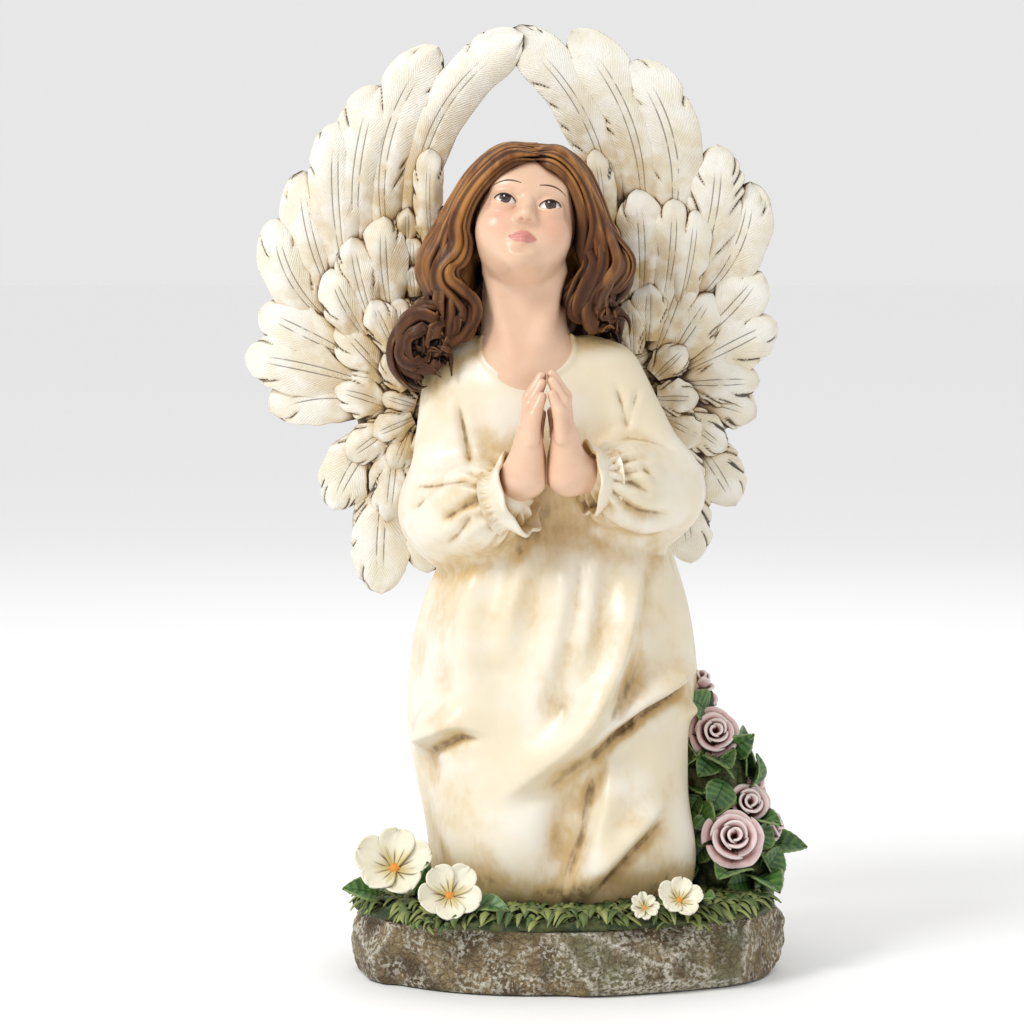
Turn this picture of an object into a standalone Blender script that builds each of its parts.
"""Kneeling angel figurine, cold-cast resin, about 305 mm tall.

The figure faces -Y and +Z is up. "Left" and "right" are as seen from the front, so left is -X.
The origin is on the resting plane, under the robe. Every sub-part is its own casting, kept a
hair's breadth clear of its neighbours, as glued castings are.
"""

import math

import bmesh
import bpy
from mathutils import Euler, Matrix, Vector

MM = 0.001
GAP = 0.3
# A piece that rests on another stands this far off, so that no cut runs along its flat face.
REST_GAP = 0.4

# Driving dimensions, in millimetres.
FELT_THICKNESS = 1.0
ROCK_BOTTOM = FELT_THICKNESS + REST_GAP
ROCK_TOP = 20.5
ROCK_CENTRE = (3.5, 4.0)
ROCK_HALF_WIDTH = 71.5
ROCK_HALF_DEPTH = 58.0
ROBE_BOTTOM = ROCK_TOP + REST_GAP
SPIGOT_RADIUS = 13.0
SPIGOT_LENGTH = 8.0
SPIGOT_CENTRE = (4.0, 8.0)
POUR_HOLE_RADIUS = 9.0
# The robe is cast hollow: the inside follows the outside at this share of its width and depth.
HOLLOW_SHARE = 0.82
HOLLOW_LOW = 27.0
# The rock's underside is recessed to this height, at this share of its outline.
ROCK_RECESS_HEIGHT = 10.5
ROCK_RECESS_SHARE = 0.72

HEAD_CENTRE = Vector((-8.2, -3.0, 241.0))
HEAD_RADII = Vector((18.0, 20.5, 23.0))
HEAD_TILT_BACK = math.radians(28)
HEAD_ROLL = math.radians(8)

PALM_PLANE_X = -1.5

WING_CENTRE = Vector((-12.3, 29.0, 199.5))
WING_ROLL = math.radians(4)
WING_SWEEP = 0.10
TENON_SIZE = Vector((7.0, 16.0, 14.0))
TENON_OUT = 15.0
TENON_UP = -20.0
DOWEL_RADIUS = 1.5
DOWEL_LENGTH = 14.0

MATERIALS = {
    "stone_paint": ((0.30, 0.25, 0.19), 0.75, 0.0),
    "turf_paint": ((0.16, 0.24, 0.07), 0.6, 0.0),
    "robe_paint": ((0.86, 0.80, 0.66), 0.4, 0.0),
    "skin_paint": ((0.82, 0.56, 0.40), 0.35, 0.0),
    "hair_paint": ((0.28, 0.12, 0.05), 0.4, 0.0),
    "wing_paint": ((0.84, 0.79, 0.67), 0.45, 0.0),
    "rose_paint": ((0.80, 0.50, 0.50), 0.5, 0.0),
    "leaf_paint": ((0.12, 0.26, 0.07), 0.45, 0.0),
    "blossom_paint": ((0.90, 0.86, 0.74), 0.5, 0.0),
    "felt": ((0.05, 0.12, 0.06), 1.0, 0.0),
    "steel": ((0.60, 0.60, 0.62), 0.35, 1.0),
}


def clear_scene():
    for obj in list(bpy.data.objects):
        bpy.data.objects.remove(obj, do_unlink=True)


def material(name):
    """The shared Principled material of that name."""
    found = bpy.data.materials.get(name)
    if found:
        return found
    colour, roughness, metallic = MATERIALS[name]
    made = bpy.data.materials.new(name)
    made.use_nodes = True
    shader = made.node_tree.nodes["Principled BSDF"]
    shader.inputs["Base Color"].default_value = (*colour, 1.0)
    shader.inputs["Roughness"].default_value = roughness
    shader.inputs["Metallic"].default_value = metallic
    return made


# Mesh helpers. All of them take millimetres.


def object_of(name, mesh_data, paint):
    """An object from a bmesh in millimetres, with outward faces."""
    bmesh.ops.recalc_face_normals(mesh_data, faces=mesh_data.faces)
    bmesh.ops.scale(mesh_data, vec=(MM, MM, MM), verts=mesh_data.verts)
    mesh = bpy.data.meshes.new(name)
    mesh_data.to_mesh(mesh)
    mesh_data.free()
    mesh.shade_smooth()
    mesh.set_sharp_from_angle(angle=math.radians(45))
    obj = bpy.data.objects.new(name, mesh)
    obj.data.materials.append(material(paint))
    bpy.context.scene.collection.objects.link(obj)
    return obj


def loft(mesh_data, loops):
    """Skins a run of point loops of equal length, and closes its two flat ends."""
    rows = [[mesh_data.verts.new(point) for point in loop] for loop in loops]
    count = len(rows[0])
    for lower, upper in zip(rows, rows[1:]):
        for i in range(count):
            j = (i + 1) % count
            mesh_data.faces.new((lower[i], lower[j], upper[j], upper[i]))
    for row in (rows[0], rows[-1]):
        mesh_data.faces.new(row)


def oval(z, centre_x, half_width, front, back, power=2.3, count=22, centre_y=0.0):
    """One level of a body: an oval whose front half and back half have their own depth."""
    points = []
    for i in range(count):
        angle = 2 * math.pi * i / count
        across = math.copysign(abs(math.cos(angle)) ** (2 / power), math.cos(angle))
        along = math.copysign(abs(math.sin(angle)) ** (2 / power), math.sin(angle))
        depth = back if along > 0 else front
        points.append(Vector((centre_x + half_width * across, centre_y + depth * along, z)))
    return points


def ellipsoid(name, centre, radii, paint, rotation=(0, 0, 0), segments=18, rings=10):
    mesh_data = bmesh.new()
    bmesh.ops.create_uvsphere(mesh_data, u_segments=segments, v_segments=rings, radius=1.0)
    place = Matrix.Translation(Vector(centre)) @ Euler(rotation).to_matrix().to_4x4()
    bmesh.ops.transform(mesh_data, matrix=place @ Matrix.Diagonal((*radii, 1.0)), verts=mesh_data.verts)
    return object_of(name, mesh_data, paint)


def tube(name, stations, paint, count=14, side=Vector((0, 1, 0))):
    """A limb: stations are (centre, half_size_across, half_size_along_side), joined in order."""
    mesh_data = bmesh.new()
    centres = [Vector(station[0]) for station in stations]
    loops = []
    for i, (_, across, along) in enumerate(stations):
        ahead = centres[min(i + 1, len(centres) - 1)] - centres[max(i - 1, 0)]
        ahead.normalize()
        second = (side - ahead * side.dot(ahead)).normalized()
        first = second.cross(ahead)
        turns = [2 * math.pi * k / count for k in range(count)]
        loops.append([
            centres[i] + first * across * math.cos(t) + second * along * math.sin(t) for t in turns
        ])
    loft(mesh_data, loops)
    return object_of(name, mesh_data, paint)


def rod(name, centre, axis, radius, length, paint, count=16):
    mesh_data = bmesh.new()
    bmesh.ops.create_cone(
        mesh_data, cap_ends=True, segments=count, radius1=radius, radius2=radius, depth=length
    )
    turn = Vector(axis).to_track_quat("Z", "Y").to_matrix().to_4x4()
    bmesh.ops.transform(mesh_data, matrix=Matrix.Translation(Vector(centre)) @ turn, verts=mesh_data.verts)
    return object_of(name, mesh_data, paint)


# Boolean helpers. A result replaces the object's own mesh, so nothing is left over.


def boolean(obj, other, operation):
    modifier = obj.modifiers.new(operation.lower(), "BOOLEAN")
    modifier.operation = operation
    modifier.object = other
    modifier.solver = "EXACT"
    graph = bpy.context.evaluated_depsgraph_get()
    result = bpy.data.meshes.new_from_object(obj.evaluated_get(graph))
    obj.modifiers.clear()
    old = obj.data
    obj.data = result
    bpy.data.meshes.remove(old)
    result.name = obj.name
    return obj


def join(obj, *others):
    """One solid from several that overlap."""
    for other in others:
        boolean(obj, other, "UNION")
        bpy.data.objects.remove(other)
    return obj


def carve(obj, cutter):
    """Takes the cutter's shape out of the object, and drops the cutter."""
    boolean(obj, cutter, "DIFFERENCE")
    bpy.data.objects.remove(cutter)
    return obj


def grown(obj):
    """A copy whose surface stands out by the gap, for cutting a clearance."""
    copy = bpy.data.objects.new("cutter", obj.data.copy())
    bpy.context.scene.collection.objects.link(copy)
    copy.hide_render = True
    copy.display_type = "WIRE"
    shape = bmesh.new()
    shape.from_mesh(copy.data)
    shape.normal_update()
    moved = [(v, v.co + v.normal * GAP * MM) for v in shape.verts]
    for v, place in moved:
        v.co = place
    shape.to_mesh(copy.data)
    shape.free()
    return copy


def body_size(verts):
    """Sorts bodies by height, and by their number of corners where the heights are alike."""
    heights = [v.co.z for v in verts]
    return max(heights) - min(heights) + len(verts) * MM


def keep_largest(obj):
    """Drops the crumbs that a cut can leave beside the main body."""
    shape = bmesh.new()
    shape.from_mesh(obj.data)
    left, bodies = set(shape.verts), []
    while left:
        stack, body = [left.pop()], set()
        while stack:
            vert = stack.pop()
            body.add(vert)
            for edge in vert.link_edges:
                other = edge.other_vert(vert)
                if other in left:
                    left.discard(other)
                    stack.append(other)
        bodies.append(body)
    if len(bodies) > 1:
        bodies.sort(key=body_size)
        crumbs = [v for body in bodies[:-1] for v in body]
        bmesh.ops.delete(shape, geom=crumbs, context="VERTS")
        shape.to_mesh(obj.data)
    shape.free()


def boxes_meet(a, b, margin=1.0):
    def corners(obj):
        points = [v.co for v in obj.data.vertices]
        return [(min(p[k] for p in points), max(p[k] for p in points)) for k in range(3)]

    reach = margin * MM
    return all(
        low_a < high_b + reach and low_b < high_a + reach
        for (low_a, high_a), (low_b, high_b) in zip(corners(a), corners(b))
    )


class Assembly:
    """The pieces made so far. A new piece gives way to those already there."""

    def __init__(self):
        self.pieces = []

    def add(self, obj):
        for earlier in self.pieces:
            if boxes_meet(obj, earlier):
                carve(obj, grown(earlier))
        keep_largest(obj)
        obj.data.shade_smooth()
        obj.data.set_sharp_from_angle(angle=math.radians(45))
        self.pieces.append(obj)
        return obj


# The figure.

ROBE_LEVELS = (
    # z, centre x, half width, front depth, back depth
    (ROBE_BOTTOM, 6.0, 40.0, 31.0, 54.0),
    (28.0, 6.0, 42.0, 33.5, 57.0),
    (38.0, 5.5, 42.5, 34.0, 56.5),
    (48.0, 4.5, 42.5, 34.0, 52.0),
    (60.0, 2.5, 43.0, 33.5, 44.0),
    (74.0, 1.0, 44.5, 33.0, 36.0),
    (90.0, 1.5, 45.5, 32.0, 32.0),
    (106.0, 1.5, 44.0, 29.5, 30.0),
    (120.0, 2.5, 41.0, 27.0, 27.0),
    (134.0, 3.0, 36.0, 24.0, 23.0),
    (150.0, 1.5, 31.0, 21.5, 20.0),
    (166.0, -1.0, 29.5, 21.0, 19.0),
    (182.0, -4.0, 29.5, 20.0, 19.0),
    (192.0, -5.5, 28.0, 17.5, 17.5),
    (199.0, -6.5, 24.0, 12.5, 15.0),
    (204.5, -7.0, 17.0, 6.0, 12.0),
)


def make_robe():
    mesh_data = bmesh.new()
    loft(mesh_data, [oval(*level) for level in ROBE_LEVELS])
    robe = object_of("robe_body", mesh_data, "robe_paint")
    spigot_middle = (*SPIGOT_CENTRE, ROBE_BOTTOM - SPIGOT_LENGTH / 2 + 1.0)
    spigot = rod("spigot", spigot_middle, (0, 0, 1), SPIGOT_RADIUS, SPIGOT_LENGTH + 2.0, "robe_paint", 20)
    join(robe, spigot)
    inside = [
        (z, x, half_width * HOLLOW_SHARE, front * HOLLOW_SHARE, back * HOLLOW_SHARE, 2.3, 14)
        for z, x, half_width, front, back in ROBE_LEVELS[1:-4:2]
    ]
    levels = [(HOLLOW_LOW, *inside[0][1:]), *inside[1:]]
    mesh_data = bmesh.new()
    loft(mesh_data, [oval(*level) for level in levels])
    hollow = object_of("hollow", mesh_data, "robe_paint")
    pour_hole = rod("pour_hole", (*SPIGOT_CENTRE, 20.0), (0, 0, 1), POUR_HOLE_RADIUS, 30.0, "robe_paint", 14)
    return carve(robe, join(hollow, pour_hole))


def make_head():
    """Head, neck and the bare skin above the neckline, one casting that plugs into the robe."""
    turn = Euler((-HEAD_TILT_BACK, HEAD_ROLL, 0))
    head = ellipsoid("head", HEAD_CENTRE, HEAD_RADII, "skin_paint", turn)
    lower_face = Vector((0, -6.0, -11.0))
    lower_face.rotate(turn)
    jaw = ellipsoid("jaw", HEAD_CENTRE + lower_face, (13.0, 13.0, 13.5), "skin_paint", turn, 12, 8)
    forward = Vector((0, -HEAD_RADII.y + 0.5, -3.0))
    forward.rotate(turn)
    nose = ellipsoid("nose", HEAD_CENTRE + forward, (2.0, 2.6, 3.4), "skin_paint", turn, 8, 5)
    neck = tube("neck", (
        ((-8.6, 1.0, 232.0), 12.5, 12.5),
        ((-8.8, -0.5, 218.0), 12.5, 12.0),
        ((-8.4, -1.5, 206.0), 14.0, 12.5),
        ((-7.6, -3.0, 197.0), 16.5, 13.0),
        ((-6.6, -5.0, 190.0), 13.0, 12.0),
        ((-6.0, -4.0, 183.0), 10.0, 9.0),
    ), "skin_paint", 14)
    return join(head, jaw, nose, neck)


def make_hand(side):
    """A hand held flat against the other, with the wrist peg that the sleeve takes."""
    stations = (
        ((24.0, -26.0, 150.0), 4.5, 4.5),
        ((16.0, -32.0, 152.0), 5.0, 5.5),
        ((9.0, -38.0, 155.5), 5.5, 6.5),
        ((5.2, -42.0, 162.0), 5.4, 8.0),
        ((3.4, -43.0, 170.0), 5.2, 8.6),
        ((2.4, -42.0, 178.0), 4.4, 8.0),
        ((1.4, -40.5, 186.0), 3.2, 6.4),
        ((0.8, -39.5, 192.5), 1.8, 3.2),
    )
    placed = [
        ((PALM_PLANE_X + side * out, y, z + (1.5 if side > 0 else 0.0)), across, along)
        for (out, y, z), across, along in stations
    ]
    name = "right_hand" if side > 0 else "left_hand"
    hand = tube(name, placed, "skin_paint", 14)
    shape = bmesh.new()
    shape.from_mesh(hand.data)
    cut = bmesh.ops.bisect_plane(
        shape,
        geom=[*shape.verts, *shape.edges, *shape.faces],
        plane_co=((PALM_PLANE_X + side * GAP / 2) * MM, 0, 0),
        plane_no=(side, 0, 0),
        clear_inner=True,
    )
    rim = [item for item in cut["geom_cut"] if isinstance(item, bmesh.types.BMEdge)]
    bmesh.ops.triangle_fill(shape, edges=rim, use_beauty=True)
    bmesh.ops.recalc_face_normals(shape, faces=shape.faces)
    shape.to_mesh(hand.data)
    shape.free()
    return hand


def make_sleeve(side):
    if side < 0:
        name, shoulder, elbow, wrist = "left_sleeve", (-29, 3, 192), (-35, -8, 146), (-14, -33, 153)
    else:
        name, shoulder, elbow, wrist = "right_sleeve", (21, 3, 196), (36, -8, 150), (14, -34, 157)
    shoulder, elbow, wrist = Vector(shoulder), Vector(elbow), Vector(wrist)
    upper = tube(name, (
        (shoulder + Vector((-side * 6, 0, 6)), 6.0, 7.0),
        (shoulder + Vector((-side * 1, 0, 3)), 9.5, 11.0),
        (shoulder.lerp(elbow, 0.15), 11.5, 13.0),
        (shoulder.lerp(elbow, 0.5), 11.5, 13.5),
        (shoulder.lerp(elbow, 0.9), 11.0, 13.0),
        (elbow + Vector((0, 0, -8)), 9.0, 10.5),
        (elbow + Vector((0, 0, -13)), 5.0, 6.5),
    ), "robe_paint", 14)
    fore = tube("forearm", (
        (elbow + Vector((side * 6, 5, -2)), 6.0, 6.0),
        (elbow + Vector((side * 2, 1, -1)), 11.0, 11.5),
        (elbow.lerp(wrist, 0.35), 12.5, 13.5),
        (elbow.lerp(wrist, 0.7), 10.5, 12.5),
        (elbow.lerp(wrist, 0.98), 7.5, 8.5),
    ), "robe_paint", 14, side=Vector((0, 0, 1)))
    return join(upper, fore)


def make_cuff(side):
    """The gathered frill beyond the wristband: a flared ring with a wavy rim."""
    if side < 0:
        name, wrist, palm = "left_cuff", Vector((-14, -33, 153)), Vector((-6, -40.5, 157))
    else:
        name, wrist, palm = "right_cuff", Vector((14, -34, 157)), Vector((4, -41.5, 161))
    ahead = (palm - wrist).normalized()
    up = Vector((0, 0, 1))
    second = (up - ahead * up.dot(ahead)).normalized()
    first = second.cross(ahead)
    mesh_data = bmesh.new()
    loops = []
    count = 21
    # reach along the cuff, radius, height of the ruffle's waves
    flare = ((0.0, 7.2, 0.0), (2.2, 8.2, 0.3), (5.0, 11.0, 1.0), (6.8, 11.6, 1.4), (6.6, 9.6, 0.0))
    for reach, radius, wave in flare:
        loop = []
        for k in range(count):
            turn = 2 * math.pi * k / count
            r = radius + wave * math.cos(7 * turn)
            z = reach + wave * 0.7 * math.sin(7 * turn)
            loop.append(wrist + ahead * z + first * r * math.cos(turn) + second * r * 1.15 * math.sin(turn))
        loops.append(loop)
    loft(mesh_data, loops)
    return object_of(name, mesh_data, "robe_paint")


def make_hair():
    cap = ellipsoid("hair", (-8.6, 5.0, 244.0), (24.0, 23.0, 23.5), "hair_paint", (-0.15, 0.12, 0), 18, 11)
    masses = (
        ((-27.0, 4.0, 230.0), (12.0, 12.0, 21.0), (0, 0.45, 0)),
        ((-33.0, 4.0, 208.0), (11.0, 11.5, 15.0), (0, 0.2, 0)),
        ((-38.0, 2.0, 195.5), (12.5, 10.0, 8.5), (0, 0, 0)),
        ((12.0, 4.0, 232.0), (11.0, 12.0, 19.0), (0, -0.45, 0)),
        ((19.0, 5.0, 214.5), (9.5, 11.0, 12.5), (0, -0.1, 0)),
        ((-8.0, 17.0, 224.0), (25.0, 9.5, 30.0), (0, 0, 0)),
    )
    for i, (centre, radii, turn) in enumerate(masses):
        join(cap, ellipsoid(f"lock{i}", centre, radii, "hair_paint", turn, 11, 7))
    return cap


# Wings. A feather is (root, tip, width, bow) in the wing's own plane: u runs outward from the
# middle of the pair and v upward.

FLIGHT_FEATHERS = (
    ((30, 36), (1.5, 104), 14, -12),
    ((36, 30), (24, 102), 16, -7),
    ((43, 28), (43, 90), 16, -5),
    ((50, 26), (56, 75), 15, -3),
    ((55, 22), (69, 62), 15, -2),
    ((55, 16), (79, 49), 15, -1),
    ((50, 2), (84, 19), 17, 2),
    ((46, -8), (89, 3), 17, 2),
    ((42, -17), (81, -18), 18, 2),
    ((42, -22), (66, -56), 17, 3),
    ((36, -28), (51, -78), 18, 2),
    ((30, -34), (32, -70), 14, 0),
)
COVERT_FEATHERS = (
    ((36, 16), (42, 47), 15, -1),
    ((42, 14), (52, 43), 14, -1),
    ((45, 9), (61, 36), 14, 0),
    ((38, -6), (62, 12), 15, 1),
    ((38, -14), (64, -8), 15, 1),
)
SMALL_FEATHERS = (
    ((31, 2), (42, 19), 12, 0),
    ((30, -8), (49, -3), 12, 0),
    ((30, -15), (51, -18), 12, 0),
    ((30, -20), (51, -31), 12, 0),
    ((28, -25), (45, -39), 12, 0),
)
FEATHER_STATIONS = (0.0, 0.4, 0.8, 1.0)
FEATHER_WIDTHS = (0.6, 0.95, 0.9, 0.25)


def in_wing(side, u, v, lift):
    """From the wing's plane to the figure. Lift is towards the front."""
    out = u + (2.5 if side > 0 else -2.0)
    flat = Vector((side * out, WING_SWEEP * u - lift, v))
    flat.rotate(Euler((0, -WING_ROLL, 0)))
    return WING_CENTRE + flat


def feather(side, shape, lift, thickness):
    root, tip, width, bow = shape
    root, tip = Vector(root), Vector(tip)
    along = tip - root
    across = Vector((along.y, -along.x)).normalized()
    middle = (root + tip) / 2 - across * bow * 2
    mesh_data = bmesh.new()
    loops = []
    for t, share in zip(FEATHER_STATIONS, FEATHER_WIDTHS):
        spine = root * (1 - t) ** 2 + middle * 2 * t * (1 - t) + tip * t ** 2
        ahead = ((middle - root) * (1 - t) + (tip - middle) * t).normalized()
        aside = Vector((ahead.y, -ahead.x)) * width / 2 * share
        thick = thickness / 2 * (1 - 0.6 * t)
        edges = ((aside, 0), (Vector((0, 0)), thick), (-aside, 0), (Vector((0, 0)), -thick))
        loops.append([in_wing(side, *(spine + off), lift + rise) for off, rise in edges])
    loft(mesh_data, loops)
    return object_of("feather", mesh_data, "wing_paint")


def make_wing(side):
    name = "right_wing" if side > 0 else "left_wing"
    mesh_data = bmesh.new()
    bmesh.ops.create_uvsphere(mesh_data, u_segments=12, v_segments=7, radius=1.0)
    for v in mesh_data.verts:
        v.co = in_wing(side, 38 + 21 * v.co.x, -4 + 40 * v.co.z, 3.2 * v.co.y)
    wing = object_of(name, mesh_data, "wing_paint")
    layers = ((FLIGHT_FEATHERS, 0.0, 5.0), (COVERT_FEATHERS, 3.0, 5.0), (SMALL_FEATHERS, 5.0, 5.0))
    for feathers, lift, thickness in layers:
        for i, shape in enumerate(feathers):
            join(wing, feather(side, shape, lift + 0.37 * (i % 5), thickness))
    near, far = TENON_OUT - TENON_SIZE.x, TENON_OUT + 16.0
    half_height = TENON_SIZE.z / 2
    arm = bmesh.new()
    loops = []
    # distance out, half height, thickness to the front and to the back
    sections = ((near, 5.0, 9.0, 3.0), (near + 6, half_height, 10.0, 3.0), (far, half_height, 3.5, 3.0))
    for u, half, front, back in sections:
        corners = ((-half, -back), (half, -back), (half, front), (-half, front))
        loops.append([in_wing(side, u, TENON_UP + v, lift) for v, lift in corners])
    loft(arm, loops)
    return join(wing, object_of("arm", arm, "wing_paint"))


def make_wing_dowel(side):
    name = "right_wing_dowel" if side > 0 else "left_wing_dowel"
    centre = in_wing(side, TENON_OUT, TENON_UP, DOWEL_LENGTH / 2 + 2.0)
    return rod(name, centre, (0, 1, 0), DOWEL_RADIUS, DOWEL_LENGTH, "steel", 12)


# The base and what grows on it.


def rock_radius(turn):
    """The rock's plan is an oval with a few broad facets."""
    return 1.0 + 0.025 * math.cos(3 * turn + 0.6) + 0.02 * math.cos(5 * turn + 2.0)


def rock_loop(z, share, count=28):
    cx, cy = ROCK_CENTRE
    loop = []
    for k in range(count):
        turn = 2 * math.pi * k / count
        r = share * rock_radius(turn)
        x = math.copysign(abs(math.cos(turn)) ** 0.85, math.cos(turn))
        y = math.copysign(abs(math.sin(turn)) ** 0.85, math.sin(turn))
        loop.append(Vector((cx + ROCK_HALF_WIDTH * r * x, cy + ROCK_HALF_DEPTH * r * y, z)))
    return loop


ROCK_LEVELS = ((ROCK_BOTTOM, 0.90), (5.0, 0.955), (11.0, 0.975), (16.5, 0.98), (ROCK_TOP, 0.93))


def make_rock():
    mesh_data = bmesh.new()
    loft(mesh_data, [rock_loop(z, share) for z, share in ROCK_LEVELS])
    rock = object_of("base_rock", mesh_data, "stone_paint")
    below = bmesh.new()
    loft(below, [rock_loop(z, ROCK_RECESS_SHARE, 18) for z in (ROCK_BOTTOM - 2.0, ROCK_RECESS_HEIGHT)])
    return carve(rock, object_of("recess", below, "stone_paint"))


def make_felt():
    mesh_data = bmesh.new()
    loft(mesh_data, [rock_loop(0.0, 0.86), rock_loop(FELT_THICKNESS, 0.86)])
    return object_of("base_felt", mesh_data, "felt")


def make_turf():
    """The moulded bank of grass round the hem of the robe."""
    mesh_data = bmesh.new()
    low = ROCK_TOP + REST_GAP
    bank = ((0.0, 0.90), (1.5, 0.925), (3.5, 0.88), (4.0, 0.76))
    loops = [rock_loop(low + rise, share) for rise, share in bank]
    loft(mesh_data, loops)
    return object_of("base_turf", mesh_data, "turf_paint")


def turned(centre, normal, spin=0.0):
    """Places a flat piece: its +Z turns to the normal."""
    turn = Vector(normal).to_track_quat("Z", "Y").to_matrix().to_4x4()
    return Matrix.Translation(Vector(centre)) @ turn @ Matrix.Rotation(spin, 4, "Z")


def blossom(name, centre, normal, radius, petals=5, spin=0.0):
    """An open flower: a shallow cup with lobed petals and a raised eye."""
    mesh_data = bmesh.new()
    count = petals * 4
    place = turned(centre, normal, spin)
    # share of the radius, height as a share of the radius, depth of the notches between petals
    levels = (
        (0.25, -0.30, 0.0),
        (0.75, -0.02, 0.6),
        (1.0, 0.22, 1.0),
        (0.97, 0.32, 1.0),
        (0.6, 0.10, 0.5),
        (0.2, 0.02, 0.0),
        (0.12, 0.16, 0.0),
    )
    loops = []
    for share, height, lobed in levels:
        loop = []
        for k in range(count):
            turn = 2 * math.pi * k / count
            notch = 1 - lobed * 0.34 * (1 - abs(math.cos(petals * turn / 2)) ** 0.7)
            r = radius * share * notch
            loop.append(place @ Vector((r * math.cos(turn), r * math.sin(turn), radius * height)))
        loops.append(loop)
    loft(mesh_data, loops)
    return object_of(name, mesh_data, "blossom_paint")


def rose(name, centre, normal, radius, depth):
    """A rose head: a cup of petals round a closed heart."""
    mesh_data = bmesh.new()
    count = 15
    place = turned(centre, normal)
    levels = (
        (0.25, -1.0, 0), (0.75, -0.7, 0), (1.0, -0.15, 1), (0.96, 0.05, 1),
        (0.66, -0.12, 0), (0.6, 0.35, 0), (0.36, 0.42, 0), (0.22, 0.3, 0),
    )
    loops = []
    for share, height, lobed in levels:
        loop = []
        for k in range(count):
            turn = 2 * math.pi * k / count
            r = radius * share * (1 + lobed * 0.08 * math.cos(5 * turn))
            loop.append(place @ Vector((r * math.cos(turn), r * math.sin(turn), depth * height)))
        loops.append(loop)
    loft(mesh_data, loops)
    return object_of(name, mesh_data, "rose_paint")


def leaf(name, base, tip, width, facing, thickness=1.3):
    """A pointed leaf from base to tip, cupped along its midrib."""
    base, tip = Vector(base), Vector(tip)
    along = tip - base
    ahead = along.normalized()
    facing = Vector(facing)
    face = (facing - ahead * facing.dot(ahead)).normalized()
    aside = ahead.cross(face)
    mesh_data = bmesh.new()
    loops = []
    for t, share in ((0.0, 0.3), (0.25, 0.85), (0.5, 1.0), (0.78, 0.7), (1.0, 0.12)):
        spine = base + along * t + face * (along.length * 0.16 * math.sin(math.pi * t))
        half = aside * width / 2 * share
        dip, thick = face * 0.12 * width * share, face * thickness / 2
        loops.append([
            spine - half + thick, spine - dip + thick, spine + half + thick,
            spine + half - thick, spine - dip - thick, spine - half - thick,
        ])
    loft(mesh_data, loops)
    return object_of(name, mesh_data, "leaf_paint")


ROSES = {
    # name: centre, facing, radius, depth
    "rose_bud_top": ((48.5, 9.0, 92.0), (0.25, -0.25, 1.0), 5.6, 9.5),
    "rose_upper": ((52.5, -3.0, 77.0), (0.15, -1.0, 0.45), 8.4, 6.0),
    "rose_back": ((66.0, 11.0, 60.5), (0.6, -0.3, 0.7), 6.0, 6.0),
    "rose_middle": ((64.5, -4.0, 54.5), (0.5, -0.7, 0.6), 7.2, 6.5),
    "rose_side_bud": ((74.0, 1.0, 46.5), (0.9, -0.3, 0.4), 4.8, 5.5),
    "rose_front": ((58.0, -17.0, 45.0), (0.1, -1.0, 0.5), 10.0, 7.0),
}
ROSE_LEAVES = (
    # base, tip, width, facing
    ((52, 2, 68), (58, -10, 66), 10, (0.2, -0.7, 0.7)),
    ((57, 4, 70), (65, -1, 76), 8, (0.5, -0.8, 0.2)),
    ((50, 2, 56), (49, -9, 58), 9, (-0.2, -0.6, 0.8)),
    ((57, 2, 52), (53, -9, 50), 10, (-0.3, -0.9, 0.4)),
    ((62, 6, 44), (72, -11, 48), 10, (0.5, -0.8, 0.3)),
    ((68, 8, 38), (83, 6, 38), 8, (0.1, -0.8, 0.7)),
    ((62, -4, 30), (54, -24, 33), 11, (-0.1, -0.7, 0.8)),
    ((64, 0, 28), (72, -20, 28), 12, (0.3, -0.8, 0.5)),
    ((66, 12, 40), (70, 28, 42), 10, (0.4, 0.8, 0.5)),
    ((56, 14, 56), (58, 26, 60), 9, (0.3, 0.8, 0.5)),
)
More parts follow.
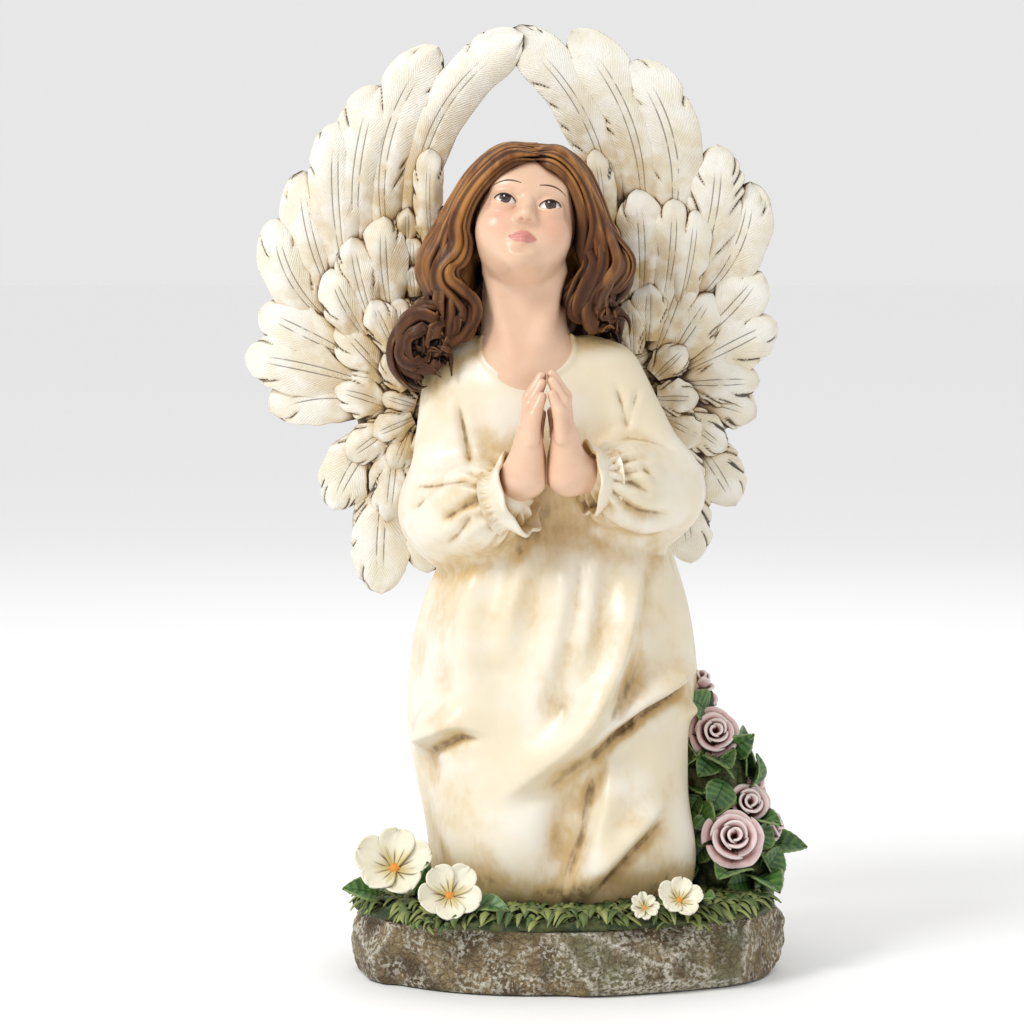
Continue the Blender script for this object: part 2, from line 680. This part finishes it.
GROUND_LEAVES = (
    ((-50, -6, 27), (-45, -2, 42), 8, (-0.2, -0.9, 0.3)),
    ((-54, -22, 26), (-65, -24, 30), 8, (-0.2, -0.7, 0.8)),
    ((-42, -22, 27), (-39, -28, 38), 6, (0.4, -0.9, 0.3)),
    ((-26, -38, 26), (-14, -45, 26.5), 7, (0, -0.6, 0.9)),
    ((46, -34, 26), (50, -41, 30), 6, (0.2, -0.7, 0.8)),
)
BLOSSOMS = {
    # name: centre, facing, radius, petals
    "blossom_large": ((-50.0, -19.0, 33.0), (-0.1, -0.75, 0.8), 13.0, 5),
    "blossom_medium": ((-32.5, -40.0, 29.0), (0.05, -0.85, 0.6), 9.5, 5),
    "blossom_right": ((39.5, -41.5, 27.8), (0.1, -0.7, 0.8), 6.6, 5),
    "daisy": ((29.0, -45.0, 26.6), (0, -0.8, 0.7), 4.2, 6),
}


def make_rose_stem():
    """The mound of stems that carries the roses and their leaves."""
    lower = ellipsoid("rose_stem", (60.0, 4.0, 36.0), (12.0, 14.0, 17.0), "leaf_paint", (0, 0, 0), 11, 7)
    middle = ellipsoid("middle", (57.5, 4.0, 58.0), (8.5, 9.0, 15.0), "leaf_paint", (0, -0.25, 0), 9, 6)
    upper = ellipsoid("upper", (50.5, 8.0, 76.0), (4.5, 5.0, 14.0), "leaf_paint", (0, -0.15, 0), 8, 6)
    return join(lower, middle, upper)


def main():
    clear_scene()
    figure = Assembly()
    for side in (-1, 1):
        figure.add(make_wing_dowel(side))
    figure.add(make_head())
    for side in (-1, 1):
        figure.add(make_wing(side))
    figure.add(make_robe())
    figure.add(make_hair())
    for side in (-1, 1):
        figure.add(make_hand(side))
    for side in (-1, 1):
        figure.add(make_sleeve(side))
        figure.add(make_cuff(side))
    figure.add(make_felt())
    figure.add(make_rock())
    figure.add(make_turf())
    figure.add(make_rose_stem())
    for name, shape in ROSES.items():
        figure.add(rose(name, *shape))
    for name, shape in BLOSSOMS.items():
        figure.add(blossom(name, *shape))
    for i, shape in enumerate(ROSE_LEAVES):
        figure.add(leaf(f"rose_leaf_{i + 1:02d}", *shape))
    for i, shape in enumerate(GROUND_LEAVES):
        figure.add(leaf(f"ground_leaf_{i + 1}", *shape))


main()
